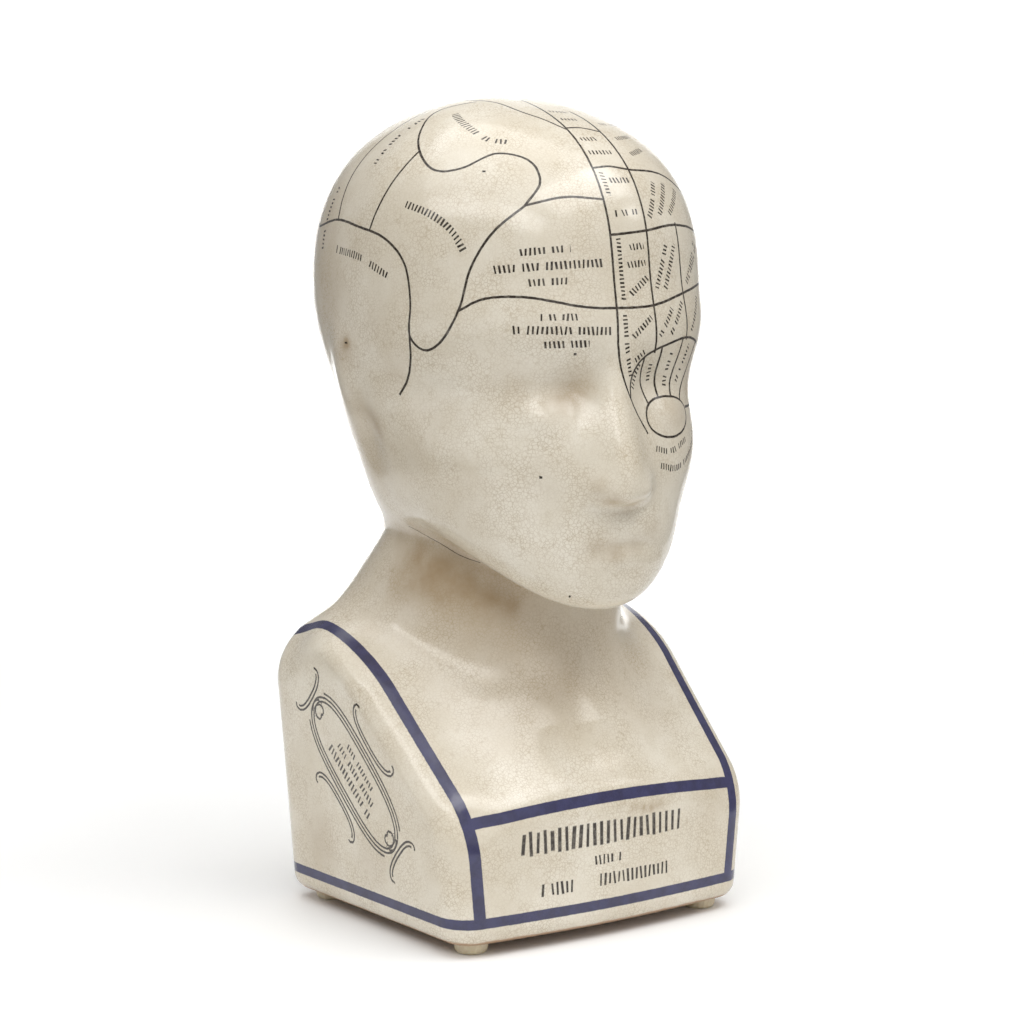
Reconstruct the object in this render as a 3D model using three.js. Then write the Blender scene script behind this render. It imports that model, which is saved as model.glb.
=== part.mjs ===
// Phrenology head: a glazed earthenware study bust on a wide block base with four low pads.
// Millimetres, +Z up, face and front panel towards -Y, origin on the ground under the middle of
// the whole part. The bust is one casting, so it is one closed skin, and the hollow inside isn't
// modelled. Up to the last lines, x and y are taken from the middle of the base.
import * as THREE from "three";

// Block base and pads
const BASE_WIDTH = 127;          // across the underside, side wall to side wall
const BASE_DEPTH = 112.8;        // front corner line to back wall
const SIDE_LEAN = 0.096;         // each side wall leans out by this much per mm of height
const FRONT_BULGE = 3;           // the front panel is this much fuller in its middle
const PANEL_WIDTH = 108.6;       // front panel between its two upright stripes
const PANEL_TOP = 43;            // top of the front panel over the underside, at its ends
const PANEL_ARCH = 3.4;          // the panel's top edge rises this much to its middle
const CORNER_RADIUS = 10;        // upright corners
const UNDERSIDE_RADIUS = 5.5;    // edge round the underside
const PAD_HEIGHT = 3.7;
const PAD_RADIUS = 6;            // where the pad is stuck to the underside
const PAD_FACE_RADIUS = 4.6;     // flat face that it stands on
const PAD_DOME_HEIGHT = 2.6;     // its rounded flank rises this far over the face
const PAD_INSET_SIDE = 12.5;     // side wall to pad centre
const PAD_INSET_ENDS = 11.5;     // front or back wall to pad centre
const GLUE_GAP = 0.3;            // between a pad and the underside

// Shoulders
const SLOPE_DEGREES = 42.5;       // chest slope behind the front panel
const CREST_HEIGHT = 101.6;      // shoulder crest over the underside
const CREST_BLEND = 18;          // how softly the slope turns over into the crest
const PANEL_EDGE_RADIUS = 4;     // edge over the front panel
const PANEL_EDGE_REACH = 16.4;   // that edge is gone this far behind the front corner line
const PANEL_EDGE_END = 44;       // it starts to grow rounder this far from the middle
const PANEL_EDGE_FADE = 12;      // and has done so this much further on
const SIDE_EDGE_RADIUS = 9;      // edge between chest slope and side wall
const SHOULDER_RADIUS = 8;       // the same edge at the shoulder
const SHOULDER_START = -20;      // where the edge starts to change, front to back
const SHOULDER_FADE = 40;
const BACK_EDGE_RADIUS = 24;     // edge between crest and back wall
const BACK_EDGE_START = 15;
const BACK_EDGE_FADE = 35;

// Neck
const NECK_HALF_WIDTH = 40;
const NECK_HALF_DEPTH = 44.3;
const NECK_BACK = 11.2;          // the neck's middle sits this far behind the middle of the base
const NECK_LEAN = 0.45;          // and moves back this much per mm further down
const NECK_POWER = 2.1;          // roundness of its plan: 2 is an ellipse
const NECK_TOP = 165;            // the neck ends here, inside the head
const NECK_FOOT = 133;           // height where the neck starts to spread into the shoulders
const SPREAD = 0.3;              // sideways spread per mm just under that height
const SPREAD_GROWTH = 0.014;     // and how fast it grows further down
const SPREAD_LIMIT = 51.5;       // half-width where the spread ends
const SPREAD_TURN = 10;          // how softly it stops there
const THROAT_START = 18;         // the throat starts to fill out this far under NECK_FOOT
const THROAT_REACH = 45;         // over this height
const THROAT_FILL = 0.004;
const NECK_EDGE_RADIUS = 14;     // edge between the spread neck and the walls
const BACK_SPREAD = 0.22;        // spread per mm at the back
const NECK_BLEND = 18;           // hollow where neck and chest meet
const JAW_BLEND = 8;             // hollow where neck and jaw meet

// Head
const HEAD_CENTRE = 200;         // over the underside
const HEAD_BACK = 4;             // the head's centre sits this far behind the middle of the base
const CROWN_RISE = 90;           // head centre to crown
const HEAD_TURN = 7;             // degrees, the face turned towards the bust's right
const FACE_UNIT = 90;            // the face's small forms are given for a head that rises 90 mm
// Outline of the head in four directions, as shares of CROWN_RISE, at these elevations
const ELEVATION = [-90, -75, -66, -58, -52, -46, -38, -30, -20, -10, 0, 10, 20, 32, 45, 60, 75, 90];
const TO_FACE = [0.78, 0.80, 0.89, 1.10, 1.213, 1.228, 1.136, 1.036, 0.937,
  0.882, 0.858, 0.86, 0.874, 0.925, 0.966, 0.98, 0.981, 1];
const TO_SIDE = [0.69, 0.69, 0.72, 0.79, 0.808, 0.79, 0.752, 0.723, 0.705,
  0.699, 0.711, 0.735, 0.776, 0.847, 0.924, 0.981, 1.004, 1];
const TO_BACK = [0.69, 0.68, 0.71, 0.767, 0.794, 0.779, 0.737, 0.715, 0.744,
  0.80, 0.871, 0.952, 1.009, 1.051, 1.056, 1.053, 1.027, 1];

// Fineness of the skin
const COLUMNS = 60;
const UNDERSIDE_RINGS = 1;
const EDGE_RINGS = 3;
const WALL_RINGS = 4;
const SHOULDER_RINGS = 20;
const HEAD_RINGS = 46;
const BASE_EYE = 24;             // height the rays for the bottom edge start from
const SHOULDER_EYE = 76;         // height the rays for the shoulders start from
const WALL_RINGS_BELOW_TOP = 5;  // last wall ring this far under the top of the front panel
const NECK_SEEN_FROM_BELOW = [45, 49.5, 41.5];        // degrees: front, side, back
const NECK_SEEN_FROM_ABOVE = [-65, -57, -52.5];
const PAD_SEGMENTS = 18;
const PAD_DOME_STEPS = 3;

const UNDERSIDE = PAD_HEIGHT + GLUE_GAP;
const radians = THREE.MathUtils.degToRad;

const bell = (t) => Math.exp(-t * t);

function ease(t) {
  const s = Math.min(Math.max(t, 0), 1);
  return s * s * (3 - 2 * s);
}

// Soft joining of two bodies: a hollow fillet of about half of width
function merge(a, b, width) {
  const h = Math.max(width - Math.abs(a - b), 0) / width;
  return Math.min(a, b) - h * h * width * 0.25;
}

// Meeting of two walls with an edge of the given radius
function roundedCorner(a, b, radius) {
  const u = a + radius;
  const v = b + radius;
  return Math.min(Math.max(u, v), 0) + Math.hypot(Math.max(u, 0), Math.max(v, 0)) - radius;
}

// Natural cubic spline through the points (xs, ys), as a function
function spline(xs, ys) {
  const n = xs.length;
  const bend = new Array(n).fill(0);
  const carry = new Array(n).fill(0);
  for (let i = 1; i < n - 1; i++) {
    const before = xs[i] - xs[i - 1];
    const after = xs[i + 1] - xs[i];
    const pivot = 2 * (before + after) - before * carry[i - 1];
    carry[i] = after / pivot;
    const turn = 6 * ((ys[i + 1] - ys[i]) / after - (ys[i] - ys[i - 1]) / before);
    bend[i] = (turn - before * bend[i - 1]) / pivot;
  }
  for (let i = n - 2; i > 0; i--) {
    bend[i] -= carry[i] * bend[i + 1];
  }
  return (x) => {
    let i = 0;
    while (i < n - 2 && x > xs[i + 1]) {
      i++;
    }
    const w = xs[i + 1] - xs[i];
    const a = (xs[i + 1] - x) / w;
    const b = (x - xs[i]) / w;
    const curve = ((a ** 3 - a) * bend[i] + (b ** 3 - b) * bend[i + 1]) * w * w / 6;
    return a * ys[i] + b * ys[i + 1] + curve;
  };
}

const faceRail = spline(ELEVATION, TO_FACE);
const sideRail = spline(ELEVATION, TO_SIDE);
const backRail = spline(ELEVATION, TO_BACK);

// Block with its sloping chest. Heights in all the fields are over the underside.
function blockField(x, y, z) {
  const side = (Math.abs(x) - BASE_WIDTH / 2 - SIDE_LEAN * z) / Math.hypot(1, SIDE_LEAN);
  const share = THREE.MathUtils.clamp(x / (PANEL_WIDTH / 2 + SIDE_LEAN * z), -1.25, 1.25);
  const fullness = 1 - share * share;
  const frontLine = -BASE_DEPTH / 2 - FRONT_BULGE * fullness;
  const wall = roundedCorner(side, Math.max(frontLine - y, y - BASE_DEPTH / 2), CORNER_RADIUS);
  const slope = radians(SLOPE_DEGREES);
  const panelTop = PANEL_TOP + PANEL_ARCH * fullness;
  const chest = (z - panelTop) * Math.cos(slope) - (y - frontLine) * Math.sin(slope);
  const roof = roundedCorner(chest, z - CREST_HEIGHT, CREST_BLEND);
  const rounder = ease((y - SHOULDER_START) / SHOULDER_FADE);
  let radius = THREE.MathUtils.lerp(SIDE_EDGE_RADIUS, SHOULDER_RADIUS, rounder);
  radius += (BACK_EDGE_RADIUS - SHOULDER_RADIUS) * ease((y - BACK_EDGE_START) / BACK_EDGE_FADE);
  const inward = 1 - ease((Math.abs(x) - PANEL_EDGE_END) / PANEL_EDGE_FADE);
  const overPanel = inward * ease((PANEL_EDGE_REACH - BASE_DEPTH / 2 - y) / PANEL_EDGE_FADE);
  radius = THREE.MathUtils.lerp(radius, PANEL_EDGE_RADIUS, overPanel);
  return roundedCorner(wall, roof, radius);
}

// Neck: a round column that spreads sideways into the shoulders
function neckField(x, y, z) {
  const drop = Math.max(NECK_FOOT - z, 0);
  const spread = NECK_HALF_WIDTH + SPREAD * drop + SPREAD_GROWTH * drop * drop;
  const halfWidth = merge(spread, SPREAD_LIMIT, SPREAD_TURN);
  const low = THREE.MathUtils.clamp(NECK_FOOT - THROAT_START - z, 0, THROAT_REACH);
  const middle = NECK_BACK + NECK_LEAN * drop;
  const toFront = NECK_HALF_DEPTH + THROAT_FILL * low * low + NECK_LEAN * drop;
  const halfDepth = y < middle ? toFront : NECK_HALF_DEPTH + BACK_SPREAD * drop;
  const across = Math.hypot(x / halfWidth, 0.16) ** NECK_POWER;
  const along = Math.hypot((y - middle) / halfDepth, 0.08) ** NECK_POWER;
  const column = ((across + along) ** (1 / NECK_POWER) - 1) * Math.min(halfWidth, halfDepth) * 0.75;
  const side = Math.abs(x) - BASE_WIDTH / 2 - SIDE_LEAN * z;
  const ends = Math.abs(y) - BASE_DEPTH / 2;
  return roundedCorner(Math.max(column, z - NECK_TOP), Math.max(side, ends), NECK_EDGE_RADIUS);
}

// Swelling of the face on a head that rises by FACE_UNIT: x across, z up from its centre
function faceRelief(x, z) {
  const far = Math.abs(x);
  const bridge = ease(-z / 37) * ease((z + 53.5) / 15);
  const noseWidth = 7 + 5 * ease((-8 - z) / 32);
  let rise = 10.5 * bridge * bell(x / noseWidth);
  rise += 2.0 * bell((far - 9.5) / 5.5) * bell((z + 43) / 7);
  rise -= 4.2 * bell((far - 15) / 9.5) * bell((z + 10) / 10);
  rise -= 2.0 * bell((far - 28) / 13) * bell((z + 12) / 9);
  rise -= 2.0 * bell((far - 52) / 11) * bell((z + 13) / 11);
  rise += 1.6 * bell((far - 26) / 8) * bell((z + 19) / 6);
  rise += 1.2 * bell((far - 34) / 26) * bell((z - 9) / 10);
  rise += 2.6 * bell((far - 40) / 20) * bell((z + 34) / 14);
  rise += 2.0 * bell(x / 19) * bell((z + 64) / 10);
  rise -= 1.3 * bell(x / 17) * bell((z + 63.5) / 3.2);
  rise -= 1.0 * bell(x / 15) * bell((z + 73) / 4);
  rise += 1.0 * bell(x / 16) * bell((z + 81) / 7);
  return rise;
}

// Head: distance from its centre against the outline in that direction
function headField(x, y, z) {
  const unit = CROWN_RISE / FACE_UNIT;
  const turn = radians(HEAD_TURN);
  const px = (x * Math.cos(turn) - (y - HEAD_BACK) * Math.sin(turn)) / unit;
  const py = (x * Math.sin(turn) + (y - HEAD_BACK) * Math.cos(turn)) / unit;
  const pz = (z - HEAD_CENTRE) / unit;
  const reach = Math.hypot(px, py, pz) + 1e-9;
  const elevation = THREE.MathUtils.radToDeg(Math.asin(pz / reach));
  const plan = Math.hypot(px, py) + 1e-9;
  const endRail = py < 0 ? faceRail(elevation) : backRail(elevation);
  const power = 2 + 0.1 * ease((elevation + 5) / 20) * ease((75 - elevation) / 30);
  const across = (Math.abs(px) / plan / sideRail(elevation)) ** power;
  const along = (Math.abs(py) / plan / endRail) ** power;
  let radius = FACE_UNIT * (across + along) ** (-1 / power);
  const front = ease((-py / plan - 0.15) / 0.5);
  radius += faceRelief(px / reach * radius, pz / reach * radius) * front;
  if (Math.abs(px) / plan > 0.3) {
    const ey = py / reach * radius;
    const ez = pz / reach * radius;
    radius += 2.0 * bell((ey - 6) / 9) * bell((ez + 8) / 17);
    radius -= 1.6 * bell((ey + 3) / 7) * bell((ez + 30) / 12);
  }
  return (reach - radius) * unit;
}

// The whole bust: below zero inside, above zero outside
function bustField(x, y, z) {
  const body = merge(blockField(x, y, z), neckField(x, y, z), NECK_BLEND);
  const based = roundedCorner(body, -z, UNDERSIDE_RADIUS);
  return merge(based, headField(x, y, z), JAW_BLEND);
}

// Point where a ray from the bust's upright axis first leaves the bust
function skinPoint(height, azimuth, elevation) {
  const dx = Math.cos(elevation) * Math.sin(azimuth);
  const dy = -Math.cos(elevation) * Math.cos(azimuth);
  const dz = Math.sin(elevation);
  const at = (t) => bustField(dx * t, HEAD_BACK + dy * t, height + dz * t);
  let near = 0;
  let far = 4;
  let depth = at(far);
  while (depth < 0) {
    near = far;
    far += THREE.MathUtils.clamp(-depth * 0.5, 0.2, 8);
    depth = at(far);
  }
  for (let i = 0; i < 24; i++) {
    const middle = (near + far) / 2;
    if (at(middle) < 0) {
      near = middle;
    } else {
      far = middle;
    }
  }
  return new THREE.Vector3(dx * far, HEAD_BACK + dy * far, height + dz * far);
}

// Columns crowd at the base's corners below, and on the face above; they turn with the head
function columnAzimuth(column, share) {
  const t = 2 * Math.PI * column / COLUMNS;
  const crowded = t + (1 - share) * 0.11 * Math.sin(4 * t) - share * 0.3 * Math.sin(t);
  return crowded - radians(HEAD_TURN) * share;
}

// Value for a column between its front, side and back values
function around(column, front, side, back) {
  const c = -Math.cos(2 * Math.PI * column / COLUMNS);
  const w = c * c;
  return THREE.MathUtils.lerp(side, c < 0 ? front : back, w);
}

function ring(share, place) {
  const points = [];
  for (let column = 0; column < COLUMNS; column++) {
    points.push(place(column, columnAzimuth(column, share)));
  }
  return points;
}

function undersideRings() {
  const wall = ring(0, (column, azimuth) => skinPoint(UNDERSIDE_RADIUS, azimuth, 0));
  const edge = wall.map((p) => Math.hypot(p.x, p.y - HEAD_BACK) - UNDERSIDE_RADIUS * SIDE_LEAN);
  const rings = [];
  for (let i = 1; i <= UNDERSIDE_RINGS; i++) {
    rings.push(ring(0, (column, azimuth) => {
      const reach = (edge[column] - UNDERSIDE_RADIUS) * i / UNDERSIDE_RINGS;
      return new THREE.Vector3(reach * Math.sin(azimuth), HEAD_BACK - reach * Math.cos(azimuth), 0);
    }));
  }
  for (let i = 1; i <= EDGE_RINGS; i++) {
    const angle = Math.PI / 2 * i / EDGE_RINGS;
    const height = UNDERSIDE_RADIUS * (1 - Math.cos(angle));
    rings.push(ring(0, (column, azimuth) => {
      const reach = edge[column] - UNDERSIDE_RADIUS * (1 - Math.sin(angle));
      return skinPoint(BASE_EYE, azimuth, Math.atan2(height - BASE_EYE, reach));
    }));
  }
  return rings;
}

function wallRings() {
  const rings = [];
  for (let i = 1; i <= WALL_RINGS; i++) {
    const top = PANEL_TOP - WALL_RINGS_BELOW_TOP;
    const height = THREE.MathUtils.lerp(UNDERSIDE_RADIUS, top, i / WALL_RINGS);
    rings.push(ring(0, (column, azimuth) => skinPoint(height, azimuth, 0)));
  }
  return rings;
}

function shoulderRings(lastWall) {
  const start = lastWall.map((p) => {
    return Math.atan2(p.z + 2 - SHOULDER_EYE, Math.hypot(p.x, p.y - HEAD_BACK));
  });
  const rings = [];
  for (let i = 0; i < SHOULDER_RINGS; i++) {
    const t = i / (SHOULDER_RINGS - 1);
    rings.push(ring(0.8 * ease(t), (column, azimuth) => {
      const end = radians(around(column, ...NECK_SEEN_FROM_BELOW));
      return skinPoint(SHOULDER_EYE, azimuth, THREE.MathUtils.lerp(start[column], end, t));
    }));
  }
  return rings;
}

function headRings() {
  const rings = [];
  for (let i = 0; i < HEAD_RINGS; i++) {
    const t = i / HEAD_RINGS;
    rings.push(ring(0.8 + 0.2 * ease(t * 4), (column, azimuth) => {
      const start = radians(around(column, ...NECK_SEEN_FROM_ABOVE));
      return skinPoint(HEAD_CENTRE, azimuth, THREE.MathUtils.lerp(start, Math.PI / 2, t));
    }));
  }
  return rings;
}

// How far the middle of a straight line between two points of the skin is off the skin
function offSkin(p, q) {
  return Math.abs(bustField((p.x + q.x) / 2, (p.y + q.y) / 2, (p.z + q.z) / 2));
}

// Closed skin over the rings, with one point under the base and one at the crown
function skinGeometry() {
  const walls = wallRings();
  const shoulders = shoulderRings(walls[walls.length - 1]);
  const rings = [...undersideRings(), ...walls, ...shoulders, ...headRings()];
  const crown = skinPoint(HEAD_CENTRE, 0, Math.PI / 2 - 1e-6);
  const points = [new THREE.Vector3(0, HEAD_BACK, 0), ...rings.flat(), crown];
  const last = points.length - 1;
  const triangles = [];
  const corner = (row, column) => 1 + row * COLUMNS + column % COLUMNS;
  for (let column = 0; column < COLUMNS; column++) {
    triangles.push(0, corner(0, column + 1), corner(0, column));
    triangles.push(last, corner(rings.length - 1, column), corner(rings.length - 1, column + 1));
    for (let row = 0; row < rings.length - 1; row++) {
      const a = corner(row, column);
      const b = corner(row, column + 1);
      const c = corner(row + 1, column + 1);
      const d = corner(row + 1, column);
      if (offSkin(points[a], points[c]) < offSkin(points[b], points[d])) {
        triangles.push(a, b, c, a, c, d);
      } else {
        triangles.push(a, b, d, b, c, d);
      }
    }
  }
  const geometry = new THREE.BufferGeometry();
  const positions = points.flatMap((p) => [p.x, p.y, p.z]);
  geometry.setAttribute("position", new THREE.Float32BufferAttribute(positions, 3));
  geometry.setIndex(triangles);
  geometry.computeVertexNormals();
  return geometry;
}

function bust() {
  const glaze = new THREE.MeshStandardMaterial({ color: 0xe4dac6, roughness: 0.2, metalness: 0 });
  const mesh = new THREE.Mesh(skinGeometry(), glaze);
  mesh.name = "bust";
  mesh.position.z = UNDERSIDE;
  return mesh;
}

// Low stick-on pad: wide where it is stuck, domed down to its flat face
function padGeometry() {
  const profile = [new THREE.Vector2(0, 0)];
  for (let i = 0; i <= PAD_DOME_STEPS; i++) {
    const angle = Math.PI / 2 * i / PAD_DOME_STEPS;
    const reach = PAD_FACE_RADIUS + (PAD_RADIUS - PAD_FACE_RADIUS) * Math.sin(angle);
    profile.push(new THREE.Vector2(reach, PAD_DOME_HEIGHT * (1 - Math.cos(angle))));
  }
  profile.push(new THREE.Vector2(PAD_RADIUS, PAD_HEIGHT));
  profile.push(new THREE.Vector2(0, PAD_HEIGHT));
  const geometry = new THREE.LatheGeometry(profile, PAD_SEGMENTS);
  geometry.rotateX(Math.PI / 2);
  return geometry;
}

function pads() {
  const rubber = new THREE.MeshStandardMaterial({ color: 0xd8cfae, roughness: 0.45, metalness: 0 });
  const reachX = BASE_WIDTH / 2 - PAD_INSET_SIDE;
  const reachY = BASE_DEPTH / 2 - PAD_INSET_ENDS;
  const places = [
    ["pad_front_right", -reachX, -reachY],
    ["pad_front_left", reachX, -reachY],
    ["pad_back_right", -reachX, reachY],
    ["pad_back_left", reachX, reachY],
  ];
  return places.map(([name, x, y]) => {
    const mesh = new THREE.Mesh(padGeometry(), rubber);
    mesh.name = name;
    mesh.position.set(x, y, 0);
    return mesh;
  });
}

const group = new THREE.Group();
group.add(bust(), ...pads());
const middle = new THREE.Box3().setFromObject(group).getCenter(new THREE.Vector3());
for (const mesh of group.children) {
  mesh.position.x -= middle.x;
  mesh.position.y -= middle.y;
}

export default group;
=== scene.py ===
"""Phrenology head: a glazed earthenware study bust on a block base that stands on four pads.

The bust's form is the same as the solid's, worked out again on a much finer grid, so that the face
is smooth and the painted lines can follow the surface. All painting is colour in the glaze.
"""
import math

import bpy
import numpy as np
from bpy.props import FloatProperty, FloatVectorProperty, IntProperty, PointerProperty
from bpy.types import Operator, Panel, PropertyGroup
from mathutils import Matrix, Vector


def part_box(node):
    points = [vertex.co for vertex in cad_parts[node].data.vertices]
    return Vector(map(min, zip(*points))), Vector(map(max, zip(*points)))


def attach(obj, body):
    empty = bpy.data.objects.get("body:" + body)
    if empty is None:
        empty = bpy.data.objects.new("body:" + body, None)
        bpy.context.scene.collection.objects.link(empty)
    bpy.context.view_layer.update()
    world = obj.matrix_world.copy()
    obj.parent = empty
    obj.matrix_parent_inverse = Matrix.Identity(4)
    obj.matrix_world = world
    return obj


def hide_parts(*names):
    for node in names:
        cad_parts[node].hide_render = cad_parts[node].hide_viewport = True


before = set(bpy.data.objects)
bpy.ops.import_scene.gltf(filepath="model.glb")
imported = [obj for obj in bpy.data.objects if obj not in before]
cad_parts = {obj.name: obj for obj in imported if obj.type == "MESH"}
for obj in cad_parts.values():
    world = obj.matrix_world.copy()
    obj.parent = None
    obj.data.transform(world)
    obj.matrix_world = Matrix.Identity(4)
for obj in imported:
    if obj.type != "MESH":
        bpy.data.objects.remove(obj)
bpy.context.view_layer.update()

bl_info = {
    "name": "Phrenology head",
    "version": (1, 0, 0),
    "blender": (4, 5, 0),
    "location": "3D View > Sidebar > Head",
    "description": "Glazed study bust with a painted map of the skull",
    "category": "Object",
}

PADS = ("pad_front_right", "pad_front_left", "pad_back_right", "pad_back_left")
MM = 0.001

# Sizes of the form in millimetres, from the middle of the base and up from its underside. The
# values named lean, spread, power and fill are plain numbers. ELEVATION is in degrees as seen from
# the head's centre, and the three rows below it are the head's reach there as shares of CROWN_RISE.
BASE_WIDTH = 127.0
BASE_DEPTH = 112.8
SIDE_LEAN = 0.096
FRONT_BULGE = 3.0
PANEL_WIDTH = 108.6
PANEL_TOP = 43.0
PANEL_ARCH = 3.4
CORNER_RADIUS = 10.0
UNDERSIDE_RADIUS = 5.5
SLOPE_DEGREES = 42.5
CREST_HEIGHT = 101.6
CREST_BLEND = 18.0
PANEL_EDGE_RADIUS = 4.0
PANEL_EDGE_REACH = 16.4
PANEL_EDGE_END = 44.0
PANEL_EDGE_FADE = 12.0
SIDE_EDGE_RADIUS = 9.0
SHOULDER_RADIUS = 8.0
SHOULDER_START = -20.0
SHOULDER_FADE = 40.0
BACK_EDGE_RADIUS = 24.0
BACK_EDGE_START = 15.0
BACK_EDGE_FADE = 35.0
NECK_HALF_WIDTH = 40.0
NECK_HALF_DEPTH = 44.3
NECK_BACK = 11.2
NECK_LEAN = 0.45
NECK_POWER = 2.1
BACK_SPREAD = 0.22
NECK_TOP = 165.0
NECK_FOOT = 133.0
SPREAD = 0.3
SPREAD_GROWTH = 0.014
SPREAD_LIMIT = 51.5
SPREAD_TURN = 10.0
THROAT_START = 18.0
THROAT_REACH = 45.0
THROAT_FILL = 0.004
NECK_EDGE_RADIUS = 14.0
NECK_BLEND = 18.0
JAW_BLEND = 8.0
HEAD_CENTRE = 200.0
HEAD_BACK = 4.0
CROWN_RISE = 90.0
HEAD_TURN = math.radians(7)
ELEVATION = (-90, -75, -66, -58, -52, -46, -38, -30, -20, -10, 0, 10, 20, 32, 45, 60, 75, 90)
TO_FACE = (0.78, 0.80, 0.89, 1.10, 1.213, 1.228, 1.136, 1.036, 0.937,
           0.882, 0.858, 0.86, 0.874, 0.925, 0.966, 0.98, 0.981, 1)
TO_SIDE = (0.69, 0.69, 0.72, 0.79, 0.808, 0.79, 0.752, 0.723, 0.705,
           0.699, 0.711, 0.735, 0.776, 0.847, 0.924, 0.981, 1.004, 1)
TO_BACK = (0.69, 0.68, 0.71, 0.767, 0.794, 0.779, 0.737, 0.715, 0.744,
           0.80, 0.871, 0.952, 1.009, 1.051, 1.056, 1.053, 1.027, 1)

# Heights the rays for the skin start from, and how many rings of points each part of it has
BASE_EYE = 24.0
SHOULDER_EYE = 76.0
UNDERSIDE_RINGS = 10
EDGE_RINGS = 8
WALL_RINGS = 27
SHOULDER_RINGS = 98
JOIN_RINGS = 5
HEAD_RINGS = 186
# Elevation in degrees, in front, at the side and at the back, of the last ring of the shoulders as
# seen from SHOULDER_EYE, and of the first ring of the head as seen from the head's centre
SHOULDER_END = (46.5, 51.4, 43.2)
HEAD_START = (-65.9, -57.8, -53.0)

# Painted bands: height of the bottom one, x of the side ones at the foot, and the height that those
# are seen from
BOTTOM_BAND = 8.56
BAND_INSET = PANEL_WIDTH / 2
BAND_EYE = 45.0
# Width of each band as a share of the common one: bottom, two sides, top of the front panel
BAND_SHARES = (0.93, 1.14, 1.14, 1.05)
# Half-widths of the painted lines: on the skull, ring under the eye, scrolls, and mould line
SKULL_LINE = 0.44
RING_LINE = 0.42
SCROLL_LINE = 0.4
MOULD_LINE = 0.13
# What stands for no line near, in the painted layers
NO_LINE = 9.0

# Painted map of the skull: degrees across from the middle of the face, and degrees up
SKULL_LINES = (
    ((0, 84), (0, 68), (0, 50), (0, 30), (0, 12), (0, 2), (1.5, -6), (4.5, -13), (8, -18)),
    ((24, 72), (17, 58), (14, 43), (12.5, 28), (12, 13), (12.5, 1)),
    ((27, 33), (26, 18), (26, 4)),
    ((0, 62), (9, 62), (18, 60)),
    ((0, 47), (7, 47.5), (15, 46.5), (33, 45), (54, 37)),
    ((0, 30), (12.5, 31), (27, 32.5), (46, 31), (64, 24)),
    ((-42.4, 12.4), (-35, 15.4), (-24, 15.5), (-10, 13), (0, 12.5), (12, 13), (26, 16), (44, 19),
     (62, 21)),
    ((-24, 37), (-12, 39), (0, 38.5)),
    ((0, 61), (-14, 69), (-45, 78), (-105, 75), (-130, 62)),
    ((-24, 37), (-33, 31), (-39, 23), (-42, 13), (-47, 5), (-53, 2), (-58, 6), (-57.5, 15), (-60, 25),
     (-68, 31), (-80, 34), (-98, 36), (-118, 33)),
    ((-58, 9), (-58.5, 0), (-61, -7), (-65, -12)),
    ((-24, 37), (-19, 43), (-22, 49), (-33, 51), (-44, 47), (-54, 47), (-64, 53), (-73, 61), (-80, 70),
     (-62, 77)),
    ((-64, 53), (-70, 45), (-74, 38), (-76, 33.4)),
    ((-98, 36), (-101, 48), (-99, 61), (-92, 75)),
    ((-122, 6), (-121, 22), (-118, 33), (-117, 48), (-112, 64)),
    ((3, -10), (4.5, -5), (9, 0), (17, 3), (27, 4.5), (38, 2), (47, -4)),
    ((11, -12), (9, -6), (9, 0)),
    ((15.5, -10.6), (15, -4), (15, 2.4)),
    ((20.5, -10.6), (22, -3), (24, 4.2)),
    ((25, -11.8), (30, -5), (34, 3.2)),
    ((28, -14), (35, -14), (42, -10), (47, -4)),
    # plainer lines on the far side and the back
    ((64, 24), (72, 34), (84, 38), (100, 36), (118, 33)),
    ((62, 21), (66, 12), (64, 2), (66, -8)),
    ((54, 37), (60, 50), (72, 60), (92, 75)),
    ((118, 33), (121, 22), (122, 6)),
    ((118, 33), (117, 48), (112, 64), (105, 75)),
    ((-118, 33), (-150, 36), (180, 36), (150, 36), (118, 33)),
    ((180, 84), (180, 60), (180, 36), (180, 12)),
)
# Ring under the eye: its middle across and up, and its half-widths
EYE_RING = (18.2, -15.2, 9.4, 4.5)

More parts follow.
